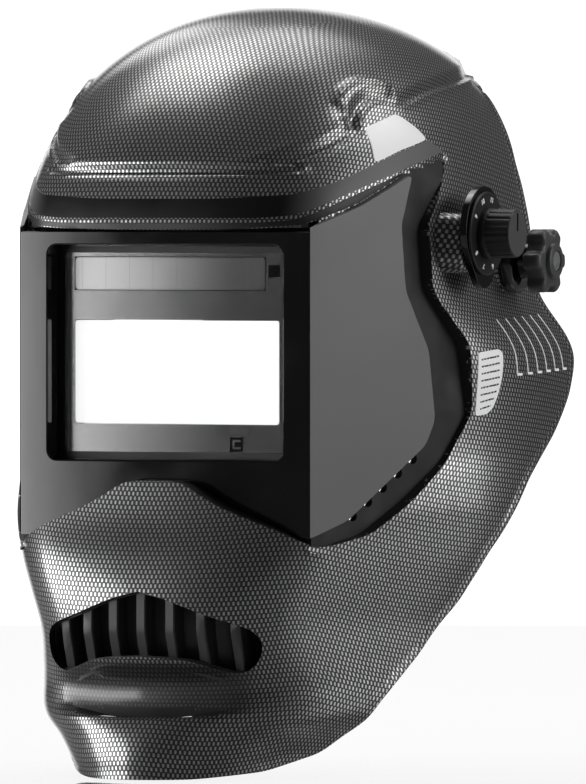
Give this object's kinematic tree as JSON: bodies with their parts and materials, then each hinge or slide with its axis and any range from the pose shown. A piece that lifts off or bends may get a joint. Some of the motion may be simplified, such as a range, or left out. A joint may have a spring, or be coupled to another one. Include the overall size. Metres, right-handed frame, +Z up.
{
  "type": "welding helmet",
  "caption": "Auto-darkening welding helmet: curved face shell with a lens window, side windows, chin vent, side shade dial, pivots and ratchet headgear that lets it flip up.",
  "frame": {"origin": "middle of the axis between the two side pivots of the headgear", "axes": "+Z up, the face looks along -Y, +X is the wearer's left, along the pivot axis"},
  "size_m": [0.24, 0.2854, 0.3139],
  "materials": {
    "woven_black": "black nylon with a fine woven print under clear gloss",
    "gloss_black": "polished black",
    "matt_black": "fine matt grain",
    "grey_plastic": "satin grey",
    "tinted_pane": "polished grey tint",
    "clear_pane": "polished clear",
    "coated_glass": "silvered filter coating",
    "liquid_crystal": "light state, glossy",
    "solar_cell": "pale solar cells under glass",
    "steel": "bright steel",
    "brass": "turned brass",
    "soft_pad": "soft woven cover over foam",
    "cable_sleeve": "soft black sleeve"
  },
  "bodies": {
    "headgear": {"headband": "matt_black", "sweatband": "soft_pad", "crown_peg": "grey_plastic", "ratchet_housing": "matt_black", "ratchet_cover": "matt_black", "pivot_bolt_left": "steel", "pivot_bolt_right": "steel", "stop_plate_left": "matt_black", "stop_plate_right": "matt_black", "pivot_spacer_left": "grey_plastic", "pivot_spacer_right": "grey_plastic"},
    "mask": {"shell": "woven_black", "front_panel": "gloss_black", "side_window_left": "tinted_pane", "side_window_right": "tinted_pane", "outer_cover_lens": "clear_pane", "lens_holder": "matt_black", "filter_housing": "matt_black", "filter_face": "coated_glass", "lcd_glass": "liquid_crystal", "solar_strip": "solar_cell", "arc_sensor_lower": "gloss_black", "arc_sensor_upper": "gloss_black", "inner_cover_lens": "clear_pane", "holder_screw_1": "steel", "holder_screw_2": "steel", "holder_screw_3": "steel", "holder_screw_4": "steel", "vent_grille": "matt_black", "shade_housing": "matt_black", "shade_dial": "gloss_black", "potentiometer": "brass", "potentiometer_nut": "brass", "control_cable": "cable_sleeve", "pivot_collar_left": "matt_black", "pivot_collar_right": "matt_black"},
    "star_left": {"star_knob_left": "grey_plastic"},
    "star_right": {"star_knob_right": "grey_plastic"},
    "shade_turn": {"shade_knob": "matt_black"},
    "sensitivity_turn": {"sensitivity_knob": "grey_plastic"},
    "delay_turn": {"delay_knob": "grey_plastic"},
    "clip": {"retaining_clip": "steel"},
    "ratchet": {"ratchet_knob": "grey_plastic", "ratchet_pinion": "grey_plastic"},
    "tail_left": {"band_tail_left": "matt_black"},
    "tail_right": {"band_tail_right": "matt_black"}
  },
  "joints": [
    {"name": "flip_up", "type": "hinge", "parent": "headgear", "child": "mask", "pos_m": [0, 0, 0], "axis": [-1, 0, 0], "range_deg": [0, 60]},
    {"name": "tension_left", "type": "hinge", "parent": "headgear", "child": "star_left", "pos_m": [0.11, 0, 0], "axis": [1, 0, 0], "range_deg": [-90, 360]},
    {"name": "tension_right", "type": "hinge", "parent": "headgear", "child": "star_right", "pos_m": [-0.11, 0, 0], "axis": [-1, 0, 0], "range_deg": [-90, 360]},
    {"name": "shade_dial_turn", "type": "hinge", "parent": "mask", "child": "shade_turn", "pos_m": [0.108, -0.045, 0.0114], "axis": [1, 0, 0], "range_deg": [-135, 135]},
    {"name": "sensitivity_dial", "type": "hinge", "parent": "mask", "child": "sensitivity_turn", "pos_m": [-0.026, -0.106, -0.006], "axis": [0, 1, 0], "range_deg": [-140, 140]},
    {"name": "delay_dial", "type": "hinge", "parent": "mask", "child": "delay_turn", "pos_m": [0.004, -0.106, -0.006], "axis": [0, 1, 0], "range_deg": [-140, 140]},
    {"name": "clip_swing", "type": "hinge", "parent": "mask", "child": "clip", "pos_m": [0, -0.1021, -0.006], "axis": [1, 0, 0], "range_deg": [0, 65]},
    {"name": "ratchet_turn", "type": "hinge", "parent": "headgear", "child": "ratchet", "pos_m": [0, 0.105, -0.027], "axis": [0, 1, 0], "range_deg": [0, 110]},
    {"name": "tail_left_slide", "type": "hinge", "parent": "headgear", "child": "tail_left", "pos_m": [0, 0.025, -0.027], "axis": [0, 0, 1], "range_deg": [0, 6.5]},
    {"name": "tail_right_slide", "type": "hinge", "parent": "headgear", "child": "tail_right", "pos_m": [0, 0.025, -0.027], "axis": [0, 0, -1], "range_deg": [0, 6.5]}
  ],
  "couplings": [
    {"joint": "tail_left_slide", "follows": "ratchet_turn", "ratio": 0.0573},
    {"joint": "tail_right_slide", "follows": "ratchet_turn", "ratio": 0.0573}
  ]
}
